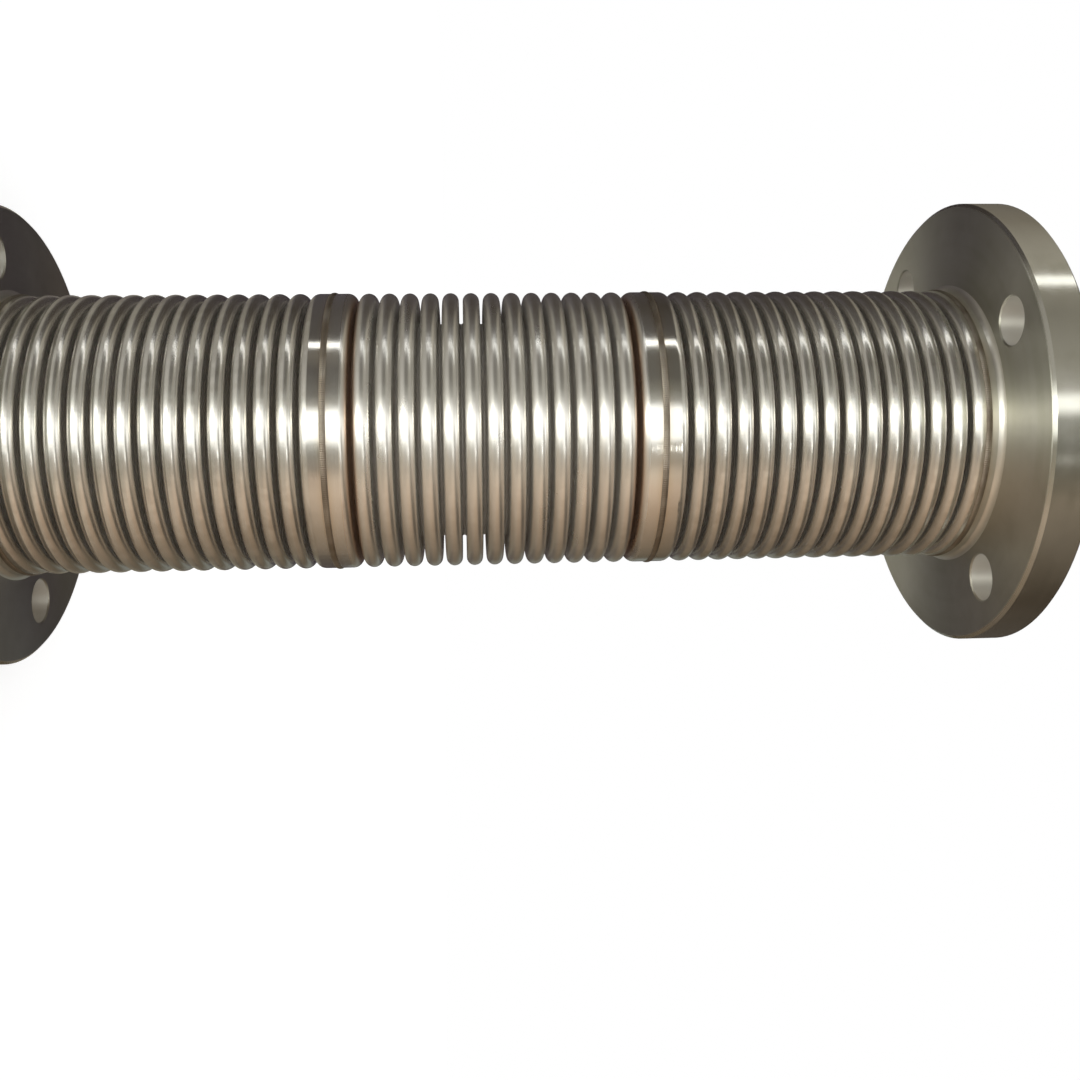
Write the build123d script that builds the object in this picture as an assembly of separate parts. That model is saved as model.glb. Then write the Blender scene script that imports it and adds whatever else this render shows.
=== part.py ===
from build123d import *
import os

# A vacuum bellows hose of stainless steel: three formed bellows welded end to end,
# with a bolted flange at each end. The hose axis is +Z and it stands on its lower
# flange. The origin is the centre of the lower flange's sealing face. Sizes in mm.

# Flanges
flange_thickness = 13.0
bolt_circle_diameter = 110.0
bolt_edge_distance = 15.0  # from a bolt hole's axis to the flange's rim
bolt_hole_diameter = 14.0
bolt_hole_count = 4
lower_bolt_clock = 45.0  # angle of the first bolt hole from +X, in degrees
upper_bolt_clock = 0.0
flange_edge_chamfer = 1.0
bolt_hole_chamfer = 0.4

# The free passage through flanges, collars, rings and bellows roots
passage_diameter = 66.0
passage_edge_chamfer = 0.5

# Bellows
convolution_height = 10.0  # radial, from the free passage to the outside of a crest
sheet_thickness = 0.4
convolution_pitch = 6.3
convolution_gap = 1.2  # outside, between the walls of neighbouring crests
convolution_count = 13
joint_cuff_length = 6.5  # plain cuff where two bellows meet, its bend included
end_cuff_length = 4.0  # plain cuff at a collar, its bend included

# Collars between flange and bellows
collar_length = 4.0  # length outside the flange's socket, up to the weld
socket_depth = 3.0

# Welds
weld_gap = 0.6  # between the edges that a seam weld joins
seam_weld_width = 1.8
seam_weld_crown = 0.35
flange_weld_leg = 1.6
flange_weld_hollow = 0.58  # from the corner to the middle of the weld's face

fit_clearance = 0.05  # radial, between round faces that seat on each other
same_place = 0.01  # edges nearer than this are taken as one in a search

# Worked out from the sizes above
passage_radius = passage_diameter / 2
crest_radius = passage_radius + convolution_height
flange_radius = bolt_circle_diameter / 2 + bolt_edge_distance
bolt_hole_radius = bolt_hole_diameter / 2
cuff_inner_radius = crest_radius - sheet_thickness
spigot_radius = cuff_inner_radius - fit_clearance
crest_bend = (convolution_pitch - convolution_gap) / 2
root_bend = convolution_gap / 2


def turned(name, points):
    """A ring turned to a closed outline of (radius, height) points."""
    with BuildPart() as ring:
        with BuildSketch(Plane.XZ):
            with BuildLine():
                Polyline(*points, close=True)
            make_face()
        revolve(axis=Axis.Z)
    ring.part.label = name
    return ring.part


def circles(solid, radius):
    """The circular edges of this radius."""
    return [
        edge
        for edge in solid.edges().filter_by(GeomType.CIRCLE)
        if abs(edge.radius - radius) < same_place
    ]


def flange(name, bolt_clock):
    """A flange with its sealing face at height 0 and its collar's socket on top."""
    socket_radius = crest_radius + fit_clearance
    socket_floor = flange_thickness - socket_depth
    disc = turned(
        name,
        [
            (passage_radius, 0),
            (flange_radius, 0),
            (flange_radius, flange_thickness),
            (socket_radius, flange_thickness),
            (socket_radius, socket_floor),
            (passage_radius, socket_floor),
        ],
    )
    disc = chamfer(circles(disc, flange_radius), flange_edge_chamfer)
    mouth = [edge for edge in circles(disc, passage_radius) if edge.center().Z < socket_floor / 2]
    disc = chamfer(mouth, passage_edge_chamfer)
    holes = PolarLocations(bolt_circle_diameter / 2, bolt_hole_count, bolt_clock)
    hole = Cylinder(
        bolt_hole_radius,
        flange_thickness,
        align=(Align.CENTER, Align.CENTER, Align.MIN),
    )
    disc -= holes * hole
    disc = chamfer(circles(disc, bolt_hole_radius), bolt_hole_chamfer)
    disc.label = name
    return disc


def collar(name):
    """A weld collar: its foot fills the flange's socket and its spigot fills the cuff.

    Height 0 is the foot, on the socket's floor.
    """
    shoulder = socket_depth + collar_length
    top = shoulder + weld_gap + end_cuff_length - crest_bend
    ring = turned(
        name,
        [
            (passage_radius, 0),
            (crest_radius, 0),
            (crest_radius, shoulder),
            (spigot_radius, shoulder),
            (spigot_radius, top),
            (passage_radius, top),
        ],
    )
    mouth = [edge for edge in circles(ring, passage_radius) if edge.center().Z > top / 2]
    ring = chamfer(mouth, passage_edge_chamfer)
    ring.label = name
    return ring


def joining_ring(name):
    """The ring inside two meeting cuffs, centred on height 0."""
    half_length = weld_gap / 2 + joint_cuff_length - crest_bend
    ring = turned(
        name,
        [
            (passage_radius, -half_length),
            (spigot_radius, -half_length),
            (spigot_radius, half_length),
            (passage_radius, half_length),
        ],
    )
    ring = chamfer(circles(ring, passage_radius), passage_edge_chamfer)
    ring.label = name
    return ring


def bellows_length(lower_cuff, upper_cuff):
    """The length of a bellows over its two cuffs."""
    roots = convolution_count * convolution_pitch + 2 * root_bend
    return lower_cuff + roots + upper_cuff


def sheet_side(lower_cuff, upper_cuff, depth):
    """One side of the formed sheet, from cuff to cuff, at this depth in the sheet.

    Crests and roots are half circles, joined by flat walls square to the axis.
    """
    top = crest_radius - depth
    bottom = passage_radius + sheet_thickness - depth
    crest_turn = crest_bend - depth
    root_turn = root_bend + depth
    first_root = lower_cuff + root_bend
    lower_bend_centre = lower_cuff - crest_bend
    Line((top, 0), (top, lower_bend_centre))
    JernArc((top, lower_bend_centre), (0, 1), crest_turn, 90)
    for index in range(convolution_count + 1):
        root = first_root + index * convolution_pitch
        crest = root + convolution_pitch / 2
        before = root - root_turn
        after = root + root_turn
        Line((top - crest_turn, before), (bottom + root_turn, before))
        ThreePointArc((bottom + root_turn, before), (bottom, root), (bottom + root_turn, after))
        Line((bottom + root_turn, after), (top - crest_turn, after))
        if index < convolution_count:
            next_wall = crest + crest_turn
            ThreePointArc((top - crest_turn, after), (top, crest), (top - crest_turn, next_wall))
    end = bellows_length(lower_cuff, upper_cuff)
    upper_bend_centre = end - upper_cuff + crest_bend
    JernArc((top - crest_turn, upper_bend_centre - crest_turn), (1, 0), crest_turn, 90)
    Line((top, upper_bend_centre), (top, end))


def bellows(name, lower_cuff, upper_cuff):
    """A thin formed bellows with a plain cuff at crest size at each end."""
    end = bellows_length(lower_cuff, upper_cuff)
    with BuildPart() as shell:
        with BuildSketch(Plane.XZ):
            with BuildLine():
                sheet_side(lower_cuff, upper_cuff, 0)
                sheet_side(lower_cuff, upper_cuff, sheet_thickness)
                Line((crest_radius, 0), (cuff_inner_radius, 0))
                Line((crest_radius, end), (cuff_inner_radius, end))
            make_face()
        revolve(axis=Axis.Z)
    shell.part.label = name
    return shell.part


def seam_weld(name):
    """A bead that fills the gap between two flush edges, centred on height 0."""
    cap_foot = crest_radius + fit_clearance
    half_gap = weld_gap / 2
    half_width = seam_weld_width / 2
    crown = crest_radius + seam_weld_crown
    with BuildPart() as bead:
        with BuildSketch(Plane.XZ):
            with BuildLine():
                Polyline(
                    (cap_foot, half_width),
                    (cap_foot, half_gap),
                    (cuff_inner_radius, half_gap),
                    (cuff_inner_radius, -half_gap),
                    (cap_foot, -half_gap),
                    (cap_foot, -half_width),
                )
                ThreePointArc((cap_foot, -half_width), (crown, 0), (cap_foot, half_width))
            make_face()
        revolve(axis=Axis.Z)
    bead.part.label = name
    return bead.part


def flange_weld(name):
    """The hollow fillet weld round a collar, on the flange's inner face at height 0."""
    inner = crest_radius + fit_clearance
    toe = inner + flange_weld_leg
    with BuildPart() as bead:
        with BuildSketch(Plane.XZ):
            with BuildLine():
                Polyline((inner, flange_weld_leg), (inner, 0), (toe, 0))
                ThreePointArc(
                    (toe, 0),
                    (inner + flange_weld_hollow, flange_weld_hollow),
                    (inner, flange_weld_leg),
                )
            make_face()
        revolve(axis=Axis.Z)
    bead.part.label = name
    return bead.part


def turned_over(solid):
    """The same piece upside down, as the hose's upper end has it."""
    return Rot(X=180) * solid


# Heights of the welds and ends, from the lower flange's sealing face up
lower_collar_seam = flange_thickness + collar_length + weld_gap / 2
lower_bellows_foot = lower_collar_seam + weld_gap / 2
outer_bellows_length = bellows_length(end_cuff_length, joint_cuff_length)
middle_bellows_length = bellows_length(joint_cuff_length, joint_cuff_length)
lower_joint_seam = lower_bellows_foot + outer_bellows_length + weld_gap / 2
middle_bellows_foot = lower_joint_seam + weld_gap / 2
upper_joint_seam = middle_bellows_foot + middle_bellows_length + weld_gap / 2
upper_bellows_foot = upper_joint_seam + weld_gap / 2
upper_collar_seam = upper_bellows_foot + outer_bellows_length + weld_gap / 2
upper_flange_inner_face = upper_collar_seam + weld_gap / 2 + collar_length
overall_length = upper_flange_inner_face + flange_thickness

pieces = {
    "lower_flange": flange("lower_flange", lower_bolt_clock),
    "lower_collar": Pos(Z=flange_thickness - socket_depth) * collar("lower_collar"),
    "lower_flange_weld": Pos(Z=flange_thickness) * flange_weld("lower_flange_weld"),
    "lower_collar_weld": Pos(Z=lower_collar_seam) * seam_weld("lower_collar_weld"),
    "lower_bellows": Pos(Z=lower_bellows_foot)
    * bellows("lower_bellows", end_cuff_length, joint_cuff_length),
    "lower_joining_ring": Pos(Z=lower_joint_seam) * joining_ring("lower_joining_ring"),
    "lower_joint_weld": Pos(Z=lower_joint_seam) * seam_weld("lower_joint_weld"),
    "middle_bellows": Pos(Z=middle_bellows_foot)
    * bellows("middle_bellows", joint_cuff_length, joint_cuff_length),
    "upper_joining_ring": Pos(Z=upper_joint_seam) * joining_ring("upper_joining_ring"),
    "upper_joint_weld": Pos(Z=upper_joint_seam) * seam_weld("upper_joint_weld"),
    "upper_bellows": Pos(Z=upper_bellows_foot)
    * bellows("upper_bellows", joint_cuff_length, end_cuff_length),
    "upper_collar_weld": Pos(Z=upper_collar_seam) * seam_weld("upper_collar_weld"),
    "upper_flange_weld": Pos(Z=upper_flange_inner_face)
    * turned_over(flange_weld("upper_flange_weld")),
    "upper_collar": Pos(Z=upper_flange_inner_face + socket_depth)
    * turned_over(collar("upper_collar")),
    "upper_flange": Pos(Z=overall_length)
    * turned_over(flange("upper_flange", upper_bolt_clock)),
}

os.makedirs("parts", exist_ok=True)
for name, piece in pieces.items():
    export_step(piece, f"parts/{name}.step")
print("overall length", round(overall_length, 2))
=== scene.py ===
"""The look of the vacuum bellows hose: steel finishes, light and camera.

Metres, in the frame of the CAD model: +Z runs along the hose from its lower flange.
The camera lies on its side, so that the standing hose runs across the picture.
"""

import math

import bpy
from mathutils import Matrix, Vector

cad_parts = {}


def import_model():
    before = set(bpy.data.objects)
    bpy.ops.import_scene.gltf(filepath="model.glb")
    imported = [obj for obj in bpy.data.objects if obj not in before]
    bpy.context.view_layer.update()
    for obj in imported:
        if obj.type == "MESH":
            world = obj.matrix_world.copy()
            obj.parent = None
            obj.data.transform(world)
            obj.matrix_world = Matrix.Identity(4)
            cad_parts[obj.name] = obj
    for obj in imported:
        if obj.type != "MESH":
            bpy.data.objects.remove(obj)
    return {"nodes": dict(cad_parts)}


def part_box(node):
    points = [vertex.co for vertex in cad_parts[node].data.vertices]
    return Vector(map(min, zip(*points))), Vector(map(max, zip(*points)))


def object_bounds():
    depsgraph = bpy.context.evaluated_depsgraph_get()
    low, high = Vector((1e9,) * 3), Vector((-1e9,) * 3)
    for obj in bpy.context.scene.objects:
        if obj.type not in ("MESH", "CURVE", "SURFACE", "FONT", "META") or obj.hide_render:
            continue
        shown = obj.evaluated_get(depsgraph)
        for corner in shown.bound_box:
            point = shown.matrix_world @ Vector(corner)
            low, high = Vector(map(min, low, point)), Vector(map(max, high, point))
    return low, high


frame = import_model()
cad_low, cad_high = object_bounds()

HOSE_MIDDLE = Vector((0, 0, cad_high.z / 2))
FLANGE_RADIUS = cad_high.x
CREST_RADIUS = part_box("lower_bellows")[1].x
JOINING_RINGS = ("lower_joining_ring", "upper_joining_ring")
SEAM_NODES = sorted(
    name for name in frame["nodes"] if name.endswith(("_collar_weld", "_joint_weld"))
)

# The camera stands beside the hose, at this bearing from +X
CAMERA_BEARING = math.radians(-58.14)
CAMERA_DISTANCE = 0.3499
CAMERA_ALONG_HOSE = -0.0085
CAMERA_UP_PICTURE = 0.0009
CAMERA_YAW = math.radians(-3.84)
CAMERA_PITCH = math.radians(-2.72)
CAMERA_ROLL = math.radians(0.76)
CAMERA_LENS = 36.46
CAMERA_SENSOR = 36.0
CAMERA_SHIFT = -0.0574
CAMERA_CLIP_START = 0.01

TOWARDS_CAMERA = Vector((math.cos(CAMERA_BEARING), math.sin(CAMERA_BEARING), 0))
PICTURE_RIGHT = Vector((0, 0, 1))
PICTURE_UP = Vector((math.sin(CAMERA_BEARING), -math.cos(CAMERA_BEARING), 0))

# Turning marks: how far detail is drawn out round the hose, how much of the radius
# counts beside the height along a turned profile, and the sheen's turn across the marks
MARK_STRETCH = 500.0
FLANGE_MARK_STRETCH = 4 * MARK_STRETCH
WAVE_STRETCH = 18.0
RADIUS_SHARE = 0.8
ACROSS_THE_MARKS = 0.25

# Colours of the flanges' steel
FLANGE_DARK = (0.44, 0.43, 0.38, 1)
FLANGE_PALE = (0.56, 0.55, 0.50, 1)
FLANGE_STAIN = (0.42, 0.42, 0.33, 1)
FLANGE_RING = (0.54, 0.53, 0.49, 1)
FLANGE_RUBBED = (0.64, 0.63, 0.59, 1)
# Painted light: the walls of the bolt holes and the passage are painted pale, so that they
# render bright
HOLE_WALL_PAINTED_LIGHT = (0.74, 0.72, 0.66, 1)

# How far a normal may lean to the hose's axis on a hole's wall, and must on a face
WALL_FACING = 0.3
FACE_FACING = 0.5

# Colours of the collars' and the joining rings' steel
COLLAR_DARK = (0.70, 0.68, 0.62, 1)
COLLAR_PALE = (0.80, 0.78, 0.72, 1)

# Colours of the bellows' sheet
SHEET_DARK = (0.68, 0.66, 0.62, 1)
SHEET_PALE = (0.78, 0.765, 0.73, 1)
SHEET_WARM = (0.58, 0.55, 0.50, 1)
SHEET_ROOT = (0.60, 0.53, 0.45, 1)
SHEET_CREST = (0.84, 0.83, 0.80, 1)
# The palest sheet is painted light: the middle bellows' copy is painted paler, as if lit more
# brightly
SHEET_PAINTED_LIT = (0.90, 0.885, 0.85, 1)
SHEET_ROUGHNESS = 0.15
BRIGHT_ROUGHNESS = 1 / 12  # added where the sheet is fully brightened
CUFF_FADE = 0.0006

# Weld beads
OXIDE_DARK = (0.24, 0.20, 0.16, 1)
OXIDE_PALE = (0.38, 0.34, 0.29, 1)
WELD_RIPPLES = 420.0  # a whole number, so that the ripples close round the hose

# Heat tint beside a seam: its reach past the bead, its strength and its colour
STRAW = (0.66, 0.56, 0.40, 1)
BURNT = (0.40, 0.32, 0.24, 1)
HEAT_TINTS = ((0.0022, 0.55, STRAW), (0.0007, 0.7, BURNT))

# Painted shade in roots: how far a root lies past a joining ring's end, and the brown shade
# painted there
ROOT_SHADE_BROWN = (0.52, 0.36, 0.24, 1)
ROOT_PAST_RING = 0.0031
ROOT_SHADE_REACH = 0.0026
ROOT_SHADE_STRENGTH = 0.8

# The surround is a drum about the hose, seen only in the steel
SURROUND_RADIUS = 1.1
SURROUND_HEIGHT = 1.5
SURROUND_PEAK = 2.0
SURROUND_FOOT = -0.0002
WINDOW_TOP = 0.72
NEAR_FLOOR_START = 0.02
NEAR_FLOOR_RADIUS = 0.45

# Its colours, by the angle in degrees from the camera towards the picture's top
WALL_COLOURS = {
    -180: (0.05, 0.04, 0.05),
    -163: (0.05, 0.04, 0.05),
    -158: (0.24, 0.25, 0.22),
    -152: (0.24, 0.25, 0.22),
    -144: (0.10, 0.08, 0.05),
    -98: (0.28, 0.20, 0.13),
    -70: (0.47, 0.34, 0.23),
    -50: (0.68, 0.52, 0.38),
    -38: (0.72, 0.59, 0.45),
    -28: (0.47, 0.40, 0.31),
    -14: (0.50, 0.47, 0.40),
    -8: (1.75, 1.75, 1.68),
    15: (1.75, 1.75, 1.68),
    20: (0.44, 0.43, 0.38),
    30: (0.21, 0.20, 0.16),
    40: (0.12, 0.11, 0.09),
    66: (0.11, 0.10, 0.08),
    85: (0.08, 0.07, 0.06),
    118: (0.04, 0.03, 0.02),
    150: (0.05, 0.04, 0.04),
    180: (0.05, 0.04, 0.05),
}
UPPER_WALL_COLOURS = {
    -180: (0.08, 0.07, 0.06),
    -98: (0.07, 0.05, 0.03),
    -60: (0.17, 0.14, 0.10),
    -38: (0.27, 0.22, 0.16),
    -24: (0.19, 0.17, 0.13),
    -12: (0.21, 0.20, 0.17),
    2: (0.34, 0.33, 0.29),
    7: (1.90, 1.90, 1.82),
    11: (1.90, 1.90, 1.82),
    15: (0.56, 0.54, 0.48),
    30: (0.42, 0.40, 0.34),
    55: (0.30, 0.28, 0.23),
    85: (0.50, 0.47, 0.39),
    120: (0.26, 0.23, 0.18),
    180: (0.08, 0.07, 0.06),
}
NEAR_FLOOR_COLOURS = {
    -180: (1.55, 1.52, 1.30),
    -172: (1.30, 1.27, 1.08),
    -160: (0.36, 0.34, 0.27),
    -135: (0.16, 0.14, 0.10),
    -100: (0.24, 0.18, 0.12),
    -50: (0.60, 0.48, 0.36),
    -28: (0.46, 0.40, 0.31),
    -12: (0.42, 0.40, 0.34),
    -5: (1.95, 1.95, 1.86),
    15: (1.95, 1.95, 1.86),
    24: (0.54, 0.52, 0.46),
    66: (0.40, 0.38, 0.34),
    85: (0.32, 0.30, 0.25),
    115: (0.24, 0.22, 0.18),
    140: (0.14, 0.12, 0.11),
    163: (0.46, 0.44, 0.36),
    173: (1.30, 1.27, 1.08),
    180: (1.55, 1.52, 1.30),
}
FAR_FLOOR_COLOURS = {
    -180: (0.06, 0.05, 0.06),
    -130: (0.10, 0.08, 0.06),
    -90: (0.34, 0.26, 0.18),
    -50: (0.64, 0.50, 0.37),
    -38: (0.60, 0.47, 0.35),
    -28: (0.34, 0.29, 0.23),
    -18: (0.30, 0.28, 0.24),
    -10: (0.55, 0.54, 0.48),
    -4: (1.95, 1.95, 1.86),
    14: (1.95, 1.95, 1.86),
    20: (0.44, 0.42, 0.37),
    29: (0.18, 0.17, 0.15),
    49: (0.10, 0.09, 0.08),
    62: (0.18, 0.16, 0.13),
    80: (0.08, 0.07, 0.06),
    180: (0.06, 0.05, 0.06),
}
CEILING_COLOURS = {
    -180: (0.12, 0.09, 0.08),
    -130: (0.18, 0.13, 0.10),
    -90: (0.30, 0.22, 0.15),
    -50: (0.58, 0.46, 0.35),
    -20: (0.56, 0.51, 0.44),
    -10: (1.95, 1.95, 1.86),
    15: (1.95, 1.95, 1.86),
    24: (0.50, 0.48, 0.42),
    66: (0.34, 0.32, 0.28),
    85: (0.16, 0.14, 0.11),
    130: (0.09, 0.08, 0.07),
    180: (0.12, 0.09, 0.08),
}

# Glowing strips, seen only in the steel: a high one that runs out over the floor and
# up in front of the wall, one in front of the wall and one on the floor. Starts, ends
# and distances are measured from the hose's axis
LAMP_COLOUR = (1, 1, 0.96, 1)
LAMP_DISTANCE = 1.0
HIGH_LAMP_START = 0.5
HIGH_LAMP_FOOT = 0.001
HIGH_LAMP_TOP = 1.1
SILL_LAMP_FOOT = 0.42
SILL_LAMP_TOP = 0.66
FOOT_LAMP_COLOUR = (1, 1, 0.88, 1)
FOOT_LAMP_START = 0.10
FOOT_LAMP_END = 0.60
FOOT_LAMP_HEIGHT = 0.0005

# Degrees that one face of a studio strip turns through, or fewer
STRIP_STEP = 4

FLOOR_PAINT = (0.85, 0.85, 0.85, 1)
FLOOR_GLOW = 0.45
FLOOR_HALF_WIDTH = 6.0
FLOOR_HEIGHT = -0.0005

# The world's strength: its light on the object, and how it looks where it is seen
WORLD_LIGHT = 0.75
WORLD_WHITE = 1.0

# The sockets of a Mix node that blend colours
MIX_FACTOR = 0
MIX_FIRST = 6
MIX_SECOND = 7
MIX_RESULT = 2


# Node helpers


class Nodes:
    """The nodes of a material or a world, with short calls to add and link them."""

    def __init__(self, owner):
        owner.use_nodes = True
        self.owner = owner
        self.tree = owner.node_tree
        self.tree.nodes.clear()

    def add(self, kind, inputs=None, **settings):
        """A new node, its inputs linked or set."""
        node = self.tree.nodes.new(kind)
        for key, value in settings.items():
            setattr(node, key, value)
        for key, value in (inputs or {}).items():
            self.put(value, node.inputs[key])
        return node

    def put(self, value, socket):
        """Links an output to the socket, or sets the socket's own value."""
        if isinstance(value, bpy.types.NodeSocket):
            self.tree.links.new(value, socket)
        else:
            socket.default_value = value

    def math(self, operation, a, b=0.0, clamp=False):
        """The result of one operation."""
        node = self.add("ShaderNodeMath", {0: a, 1: b}, operation=operation)
        node.use_clamp = clamp
        return node.outputs[0]

    def times(self, a, b):
        """The product of two values."""
        return self.math("MULTIPLY", a, b)

    def plus(self, base, value, share):
        """The base and a share of the value."""
        return self.math("ADD", base, self.times(value, share))

    def between(self, value, start, end, low=0.0, high=1.0):
        """The value's smooth way from start to end, as low to high."""
        node = self.add(
            "ShaderNodeMapRange",
            {"Value": value, "From Min": start, "From Max": end, "To Min": low, "To Max": high},
            interpolation_type="SMOOTHSTEP",
        )
        return node.outputs["Result"]

    def spread(self, noise, low=0.0, high=1.0, start=0.3, end=0.7):
        """The middle of a noise's range, as low to high."""
        return self.between(noise, start, end, low, high)

    def mix(self, factor, first, second):
        """Two colours mixed."""
        node = self.add("ShaderNodeMix", data_type="RGBA")
        self.put(factor, node.inputs[MIX_FACTOR])
        self.put(first, node.inputs[MIX_FIRST])
        self.put(second, node.inputs[MIX_SECOND])
        return node.outputs[MIX_RESULT]

    def noise(self, vector, scale, detail, roughness):
        """Soft random detail, with about as many features to a metre as its scale."""
        node = self.add(
            "ShaderNodeTexNoise",
            {"Vector": vector, "Scale": scale, "Detail": detail, "Roughness": roughness},
        )
        return node.outputs["Fac"]

    def bump(self, height, distance, strength):
        """The normal of a surface that rises by the height, times the distance."""
        return self.add(
            "ShaderNodeBump", {"Strength": strength, "Distance": distance, "Height": height}
        ).outputs[0]

    def round_tangent(self):
        """The direction of lathe marks, round the hose."""
        return self.add("ShaderNodeTangent", direction_type="RADIAL", axis="Z").outputs[0]

    def steel(self, colour, roughness, metallic, normal, anisotropic=0.0, tangent=None):
        """Makes the material steel, and returns it."""
        shader = self.add(
            "ShaderNodeBsdfPrincipled",
            {
                "Base Color": colour,
                "Roughness": roughness,
                "Metallic": metallic,
                "Normal": normal,
                "Anisotropic": anisotropic,
                "Anisotropic Rotation": ACROSS_THE_MARKS,
            },
        )
        if tangent:
            self.put(tangent, shader.inputs["Tangent"])
        self.add("ShaderNodeOutputMaterial", {"Surface": shader.outputs[0]})
        return self.owner

    def glow(self, colour, strength):
        """Makes the material a plain light, and returns it."""
        light = self.add("ShaderNodeEmission", {"Color": colour, "Strength": strength})
        self.add("ShaderNodeOutputMaterial", {"Surface": light.outputs[0]})
        return self.owner

    def seen(self):
        """1 for the camera, reflections and glass, 0 for the light on other things."""
        rays = self.add("ShaderNodeLightPath").outputs
        plain = self.math("MAXIMUM", rays["Is Camera Ray"], rays["Is Glossy Ray"])
        return self.math("MAXIMUM", plain, rays["Is Transmission Ray"])


def material_nodes(name):
    """The empty node tree of a new material."""
    return Nodes(bpy.data.materials.new(name))


class RoundPlace:
    """Where a point lies round the hose: its height, radius and angle."""

    def __init__(self, nodes):
        self.nodes = nodes
        self.position = nodes.add("ShaderNodeTexCoord").outputs["Object"]
        split = nodes.add("ShaderNodeSeparateXYZ", {0: self.position})
        x, y, self.height = split.outputs
        self.radius = nodes.math("SQRT", nodes.math("ADD", nodes.times(x, x), nodes.times(y, y)))
        self.angle = nodes.math("ARCTAN2", y, x)
        self.cosine = nodes.math("DIVIDE", x, self.radius)
        self.sine = nodes.math("DIVIDE", y, self.radius)

    def along_turns(self, stretch):
        """A position whose detail is drawn out round the hose, as turning marks are."""
        return self.nodes.add(
            "ShaderNodeCombineXYZ",
            {
                0: self.nodes.math("DIVIDE", self.cosine, stretch),
                1: self.nodes.math("DIVIDE", self.sine, stretch),
                2: self.nodes.plus(self.height, self.radius, RADIUS_SHARE),
            },
        ).outputs[0]

    def outside(self, outer, start, full, low=0.0, high=1.0):
        """Low to high from start to full, both measured inwards from the outer radius."""
        return self.nodes.between(self.radius, outer - start, outer - full, low, high)

    def near_height(self, level, reach):
        """1 at the level, fading to 0 at the reach above and below it."""
        apart = self.nodes.math("ABSOLUTE", self.nodes.math("SUBTRACT", self.height, level))
        return self.nodes.between(apart, 0.0, reach, low=1.0, high=0.0)


# Finishes


def middle_and_half(node):
    """A node's middle height and half its length along the hose."""
    low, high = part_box(node)
    return (low.z + high.z) / 2, (high.z - low.z) / 2


def heat_tint(nodes, place, colour):
    """Straw and brown bands on the steel beside each seam."""
    patches = nodes.noise(place.position, scale=70.0, detail=2.0, roughness=0.5)
    patchy = nodes.spread(patches, low=0.35)
    for bead in SEAM_NODES:
        middle, half = middle_and_half(bead)
        for reach, strength, tint in HEAT_TINTS:
            band = nodes.times(place.near_height(middle, half + reach), patchy)
            colour = nodes.mix(nodes.times(band, strength), colour, tint)
    return colour


def painted_root_shade(nodes, place, colour):
    """Painted brown shade in the middle bellows' first and last root."""
    lower_ring, upper_ring = JOINING_RINGS
    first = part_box(lower_ring)[1].z + ROOT_PAST_RING
    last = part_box(upper_ring)[0].z - ROOT_PAST_RING
    for level in (first, last):
        # Brown painted shade in the root beside each joining ring
        painted_shade = nodes.times(place.near_height(level, ROOT_SHADE_REACH), ROOT_SHADE_STRENGTH)
        colour = nodes.mix(painted_shade, colour, ROOT_SHADE_BROWN)
    return colour


def plain_cuffs(nodes, place):
    """1 on the plain cuffs over the joining rings, 0 on the convolutions."""
    cuffs = 0.0
    for ring in JOINING_RINGS:
        middle, half = middle_and_half(ring)
        apart = nodes.math("ABSOLUTE", nodes.math("SUBTRACT", place.height, middle))
        cuff = nodes.between(apart, half, half + CUFF_FADE, low=1.0, high=0.0)
        cuffs = nodes.math("MAXIMUM", cuff, cuffs)
    return cuffs


def hole_walls(nodes, rim):
    """1 on the walls of the bolt holes and the passage, 0 on the faces and the rim."""
    facing = nodes.add("ShaderNodeNewGeometry").outputs["True Normal"]
    upright = nodes.add("ShaderNodeSeparateXYZ", {0: facing}).outputs["Z"]
    lean = nodes.math("ABSOLUTE", upright)
    walls = nodes.between(lean, WALL_FACING, FACE_FACING, low=1.0, high=0.0)
    return nodes.times(walls, nodes.math("SUBTRACT", 1.0, rim))


def flange_steel():
    """Turned steel: concentric lathe marks, stains, and edges rubbed brighter."""
    nodes = material_nodes("flange_steel")
    place = RoundPlace(nodes)
    turned = place.along_turns(FLANGE_MARK_STRETCH)
    marks = nodes.noise(turned, scale=1100.0, detail=2.0, roughness=0.5)
    rings = nodes.noise(turned, scale=300.0, detail=2.0, roughness=0.5)
    clouds = nodes.noise(place.position, scale=38.0, detail=4.0, roughness=0.6)
    stains = nodes.noise(place.position, scale=11.0, detail=3.0, roughness=0.5)
    edges = place.outside(FLANGE_RADIUS, start=0.0016, full=0.0004)
    rubbed = nodes.times(edges, nodes.spread(clouds, low=0.15, high=0.6, start=0.35, end=0.6))
    rim = place.outside(FLANGE_RADIUS, start=0.0009, full=0.0007)
    walls = hole_walls(nodes, rim)

    colour = nodes.mix(nodes.spread(clouds), FLANGE_DARK, FLANGE_PALE)
    colour = nodes.mix(nodes.spread(stains, start=0.45, end=0.75), colour, FLANGE_STAIN)
    colour = nodes.mix(nodes.spread(rings, high=0.35, start=0.35, end=0.65), colour, FLANGE_RING)
    colour = nodes.mix(rubbed, colour, FLANGE_RUBBED)
    # Painted light: pale walls in the bolt holes and the passage, so that they render bright
    colour = nodes.mix(walls, colour, HOLE_WALL_PAINTED_LIGHT)
    roughness = nodes.plus(0.37, rings, share=0.10)
    roughness = nodes.plus(roughness, rim, share=-0.27)
    roughness = nodes.plus(roughness, walls, share=0.2)
    return nodes.steel(
        colour,
        roughness,
        metallic=nodes.between(walls, 0.0, 1.0, low=0.96, high=0.55),
        normal=nodes.bump(marks, distance=0.00001, strength=0.15),
        anisotropic=0.85,
        tangent=nodes.round_tangent(),
    )


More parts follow.
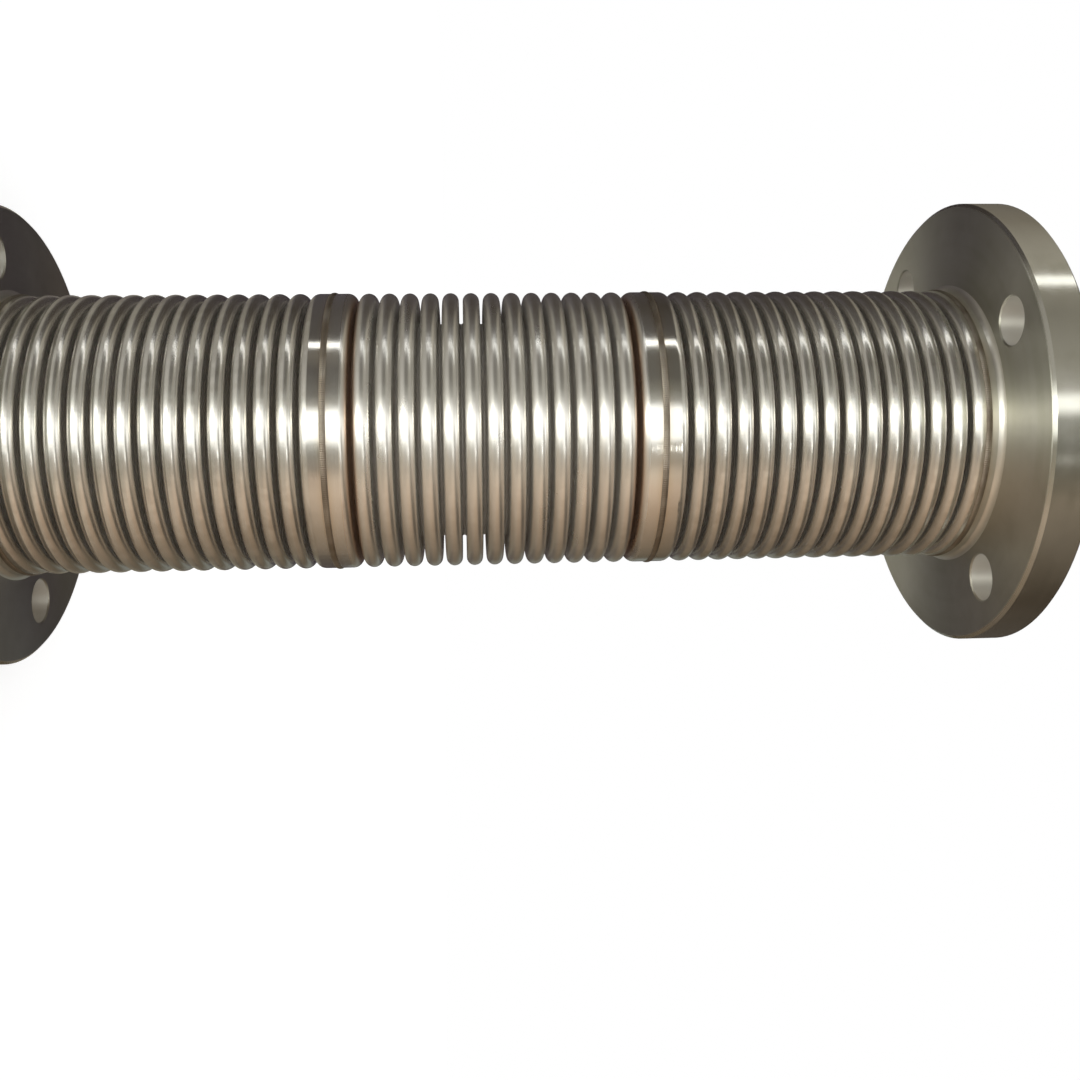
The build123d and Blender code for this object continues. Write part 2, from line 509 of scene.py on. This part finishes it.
def collar_steel(name, dullness):
    """Turned steel with a finer finish than the flanges, tinted beside its seams."""
    nodes = material_nodes(name)
    place = RoundPlace(nodes)
    turned = place.along_turns(MARK_STRETCH)
    marks = nodes.noise(turned, scale=3200.0, detail=3.0, roughness=0.6)
    clouds = nodes.noise(place.position, scale=55.0, detail=4.0, roughness=0.6)
    colour = nodes.mix(nodes.spread(clouds), COLLAR_DARK, COLLAR_PALE)
    return nodes.steel(
        heat_tint(nodes, place, colour),
        nodes.plus(dullness, marks, share=0.10),
        metallic=0.94,
        normal=nodes.bump(marks, distance=0.00001, strength=0.4),
        anisotropic=0.5,
        tangent=nodes.round_tangent(),
    )


def bellows_steel(name, painted_lit_share):
    """Semi-bright formed sheet: rubbed crests, dull roots, drawing marks and soft dents, made
    paler and rougher by the share of painted light.
    """
    nodes = material_nodes(name)
    place = RoundPlace(nodes)
    turned = place.along_turns(MARK_STRETCH)
    marks = nodes.noise(turned, scale=2400.0, detail=3.0, roughness=0.6)
    waved = place.along_turns(WAVE_STRETCH)
    waves = nodes.noise(waved, scale=160.0, detail=2.0, roughness=0.5)
    clouds = nodes.noise(place.position, scale=60.0, detail=4.0, roughness=0.6)
    level = nodes.add("ShaderNodeCombineXYZ", {2: place.height}).outputs[0]
    by_crest = nodes.noise(level, scale=140.0, detail=2.0, roughness=0.6)
    roots = place.outside(CREST_RADIUS, start=0.009, full=0.003, low=1.0, high=0.0)
    dull = nodes.times(roots, nodes.spread(clouds, low=0.2, high=0.6))
    cuffs = plain_cuffs(nodes, place)
    crests = place.outside(CREST_RADIUS, start=0.0006, full=0.0001)
    crests = nodes.math("SUBTRACT", crests, cuffs, clamp=True)
    rubbed = nodes.times(crests, nodes.spread(waves, high=0.6, start=0.4, end=0.65))

    colour = nodes.mix(nodes.spread(clouds), SHEET_DARK, SHEET_PALE)
    colour = nodes.mix(nodes.spread(by_crest, high=0.3), colour, SHEET_WARM)
    colour = nodes.mix(dull, colour, SHEET_ROOT)
    colour = nodes.mix(rubbed, colour, SHEET_CREST)
    # Painted light: a paler sheet by the share given, as if this copy were lit more brightly
    colour = nodes.mix(painted_lit_share, colour, SHEET_PAINTED_LIT)
    colour = painted_root_shade(nodes, place, heat_tint(nodes, place, colour))
    even = SHEET_ROUGHNESS + painted_lit_share * BRIGHT_ROUGHNESS
    roughness = nodes.plus(even, clouds, share=0.10)
    roughness = nodes.plus(roughness, by_crest, share=0.10)
    roughness = nodes.plus(roughness, roots, share=0.20)
    roughness = nodes.plus(roughness, cuffs, share=-0.13)
    height = nodes.plus(marks, waves, share=2.0)
    return nodes.steel(
        colour,
        roughness,
        metallic=place.outside(CREST_RADIUS, start=0.006, full=0.0015, low=0.5, high=0.96),
        normal=nodes.bump(height, distance=0.00002, strength=0.6),
        anisotropic=0.3,
        tangent=nodes.round_tangent(),
    )


def weld_steel():
    """A weld bead: fine ripples round the hose under dark oxide."""
    nodes = material_nodes("weld_steel")
    place = RoundPlace(nodes)
    ripple = nodes.math("SINE", nodes.times(place.angle, WELD_RIPPLES))
    grain = nodes.noise(place.position, scale=900.0, detail=3.0, roughness=0.6)
    patches = nodes.noise(place.position, scale=90.0, detail=3.0, roughness=0.5)
    height = nodes.plus(ripple, grain, share=0.8)
    return nodes.steel(
        nodes.mix(nodes.spread(patches, start=0.35, end=0.65), OXIDE_DARK, OXIDE_PALE),
        nodes.plus(0.34, grain, share=0.2),
        metallic=1.0,
        normal=nodes.bump(height, distance=0.00005, strength=0.7),
    )


def dress():
    """Gives every node its finish. The flanges' fillets are finished like the collars."""
    finishes = {
        "flange": flange_steel(),
        "collar": collar_steel("collar_steel", dullness=0.30),
        "ring": collar_steel("ring_steel", dullness=0.13),
        "bellows": bellows_steel("bellows_steel", painted_lit_share=0.0),
        # The middle bellows' copy has painted light: a paler, rougher sheet, as if lit more
        # brightly
        "middle": bellows_steel("middle_bellows_painted_lit_steel", painted_lit_share=0.5),
        "weld": weld_steel(),
    }
    for name, node in frame["nodes"].items():
        kind = name.split("_")[-1]
        if name.endswith("flange_weld"):
            kind = "collar"
        elif name == "middle_bellows":
            kind = "middle"
        node.material_slots[0].material = finishes[kind]


# The studio


def stage_mesh(name, points, faces, finish):
    """A mesh that is part of the studio."""
    mesh = bpy.data.meshes.new(name)
    mesh.from_pydata(points, [], faces)
    mesh.materials.append(finish)
    piece = bpy.data.objects.new(name, mesh)
    bpy.context.collection.objects.link(piece)
    return piece


def studio_point(angle, distance, height):
    """A point round the hose: its angle is from the camera, towards the picture's top."""
    level = TOWARDS_CAMERA * math.cos(angle) + PICTURE_UP * math.sin(angle)
    return level * distance + Vector((0, 0, height))


def studio_strip(name, start, end, profile, finish):
    """A strip that turns about the hose through a profile of distances and heights.

    Start and end are in degrees. The camera doesn't see it, and it lights nothing dull.
    """
    steps = max(2, round((end - start) / STRIP_STEP))
    angles = [math.radians(start + (end - start) * step / steps) for step in range(steps + 1)]
    points = [
        studio_point(angle, distance, height)
        for angle in angles
        for distance, height in profile
    ]
    rows = len(profile)
    faces = []
    for column in range(steps):
        for row in range(rows - 1):
            corner = column * rows + row
            faces.append((corner, corner + 1, corner + rows + 1, corner + rows))
    strip = stage_mesh(name, points, faces, finish)
    strip.visible_camera = False
    strip.visible_diffuse = False
    strip.visible_shadow = False


def surround(name, colours, profile):
    """A whole turn of the surround, its colours blended from angle to angle."""
    nodes = material_nodes(name)
    # The ramp goes from -180 degrees at 0 to 180 degrees at 1
    turn = nodes.math("SUBTRACT", CAMERA_BEARING, RoundPlace(nodes).angle)
    share = nodes.math("FRACT", nodes.math("ADD", nodes.math("DIVIDE", turn, math.tau), 0.5))
    ramp = nodes.add("ShaderNodeValToRGB", {"Fac": share})
    stops = ramp.color_ramp.elements
    for index, (angle, colour) in enumerate(colours.items()):
        stop_at = angle / 360 + 0.5
        stop = stops[index] if index in (0, 1) else stops.new(stop_at)
        stop.position = stop_at
        stop.color = (*(channel / SURROUND_PEAK for channel in colour), 1)
    studio_strip(name, -180, 180, profile, nodes.glow(ramp.outputs[0], SURROUND_PEAK))


def drum():
    """The surround's floor, wall and ceiling, joined at their edges."""
    floor_start = (NEAR_FLOOR_START, SURROUND_FOOT)
    near_edge = (NEAR_FLOOR_RADIUS, SURROUND_FOOT)
    far_edge = (SURROUND_RADIUS, SURROUND_FOOT)
    wall_foot = (SURROUND_RADIUS, 0)
    window_top = (SURROUND_RADIUS, WINDOW_TOP)
    wall_top = (SURROUND_RADIUS, SURROUND_HEIGHT)
    ceiling_middle = (0.0, SURROUND_HEIGHT)
    surround("surround_floor", NEAR_FLOOR_COLOURS, [floor_start, near_edge])
    surround("surround_far_floor", FAR_FLOOR_COLOURS, [near_edge, far_edge])
    surround("surround_wall", WALL_COLOURS, [wall_foot, window_top])
    surround("surround_upper_wall", UPPER_WALL_COLOURS, [window_top, wall_top])
    surround("surround_ceiling", CEILING_COLOURS, [wall_top, ceiling_middle])


def lamp(name, start, end, profile, colour, strength):
    """A glowing strip, seen as a thin row of light in the steel."""
    studio_strip(name, start, end, profile, material_nodes(name).glow(colour, strength))


def lamps():
    """The small lights on the crests and the streak across the upper flange."""
    lamp(
        "high_lamp",
        start=69.5,
        end=75,
        profile=[
            (HIGH_LAMP_START, HIGH_LAMP_FOOT),
            (LAMP_DISTANCE, HIGH_LAMP_FOOT),
            (LAMP_DISTANCE, HIGH_LAMP_TOP),
        ],
        colour=LAMP_COLOUR,
        strength=2.4,
    )
    lamp(
        "sill_lamp",
        start=-19,
        end=-15,
        profile=[(LAMP_DISTANCE, SILL_LAMP_FOOT), (LAMP_DISTANCE, SILL_LAMP_TOP)],
        colour=LAMP_COLOUR,
        strength=5.0,
    )
    lamp(
        "foot_lamp",
        start=4,
        end=12,
        profile=[(FOOT_LAMP_START, FOOT_LAMP_HEIGHT), (FOOT_LAMP_END, FOOT_LAMP_HEIGHT)],
        colour=FOOT_LAMP_COLOUR,
        strength=7.0,
    )


def floor():
    """A pale floor that renders white and keeps a faint shadow."""
    nodes = material_nodes("floor_paint")
    paint = nodes.add("ShaderNodeBsdfDiffuse", {"Color": FLOOR_PAINT})
    shine = nodes.add("ShaderNodeEmission", {"Strength": nodes.times(nodes.seen(), FLOOR_GLOW)})
    both = nodes.add("ShaderNodeAddShader", {0: paint.outputs[0], 1: shine.outputs[0]})
    nodes.add("ShaderNodeOutputMaterial", {"Surface": both.outputs[0]})
    corners = [
        (x * FLOOR_HALF_WIDTH, y * FLOOR_HALF_WIDTH, 0)
        for x, y in ((-1, -1), (1, -1), (1, 1), (-1, 1))
    ]
    piece = stage_mesh("floor", corners, [(0, 1, 2, 3)], nodes.owner)
    piece.location.z = FLOOR_HEIGHT


def world():
    """White where the camera or the steel sees it, and soft light elsewhere."""
    studio = bpy.data.worlds.new("studio")
    bpy.context.scene.world = studio
    nodes = Nodes(studio)
    strength = nodes.add(
        "ShaderNodeMapRange",
        {"Value": nodes.seen(), "To Min": WORLD_LIGHT, "To Max": WORLD_WHITE},
    )
    light = nodes.add(
        "ShaderNodeBackground", {"Color": (1, 1, 1, 1), "Strength": strength.outputs[0]}
    )
    nodes.add("ShaderNodeOutputWorld", {"Surface": light.outputs[0]})


def camera():
    """The photograph's view of the hose."""
    eye = bpy.data.cameras.new("camera")
    eye.lens = CAMERA_LENS
    eye.sensor_width = CAMERA_SENSOR
    eye.shift_y = CAMERA_SHIFT
    eye.clip_start = CAMERA_CLIP_START
    holder = bpy.data.objects.new("camera", eye)
    bpy.context.collection.objects.link(holder)
    # Turned in a frame of picture right, away and picture up
    turn = (
        Matrix.Rotation(CAMERA_YAW, 3, "Z")
        @ Matrix.Rotation(CAMERA_PITCH, 3, "X")
        @ Matrix.Rotation(CAMERA_ROLL, 3, "Y")
    )
    beside = Matrix((PICTURE_RIGHT, -TOWARDS_CAMERA, PICTURE_UP)).transposed()
    right, forward, up = (beside @ turn).col
    axes = Matrix((right, up, -forward)).transposed()
    place = (
        HOSE_MIDDLE
        + TOWARDS_CAMERA * CAMERA_DISTANCE
        + PICTURE_RIGHT * CAMERA_ALONG_HOSE
        + PICTURE_UP * CAMERA_UP_PICTURE
    )
    holder.matrix_world = Matrix.Translation(place) @ axes.to_4x4()
    bpy.context.scene.camera = holder


dress()
drum()
lamps()
floor()
world()
camera()
bpy.context.scene.view_settings.view_transform = "Standard"
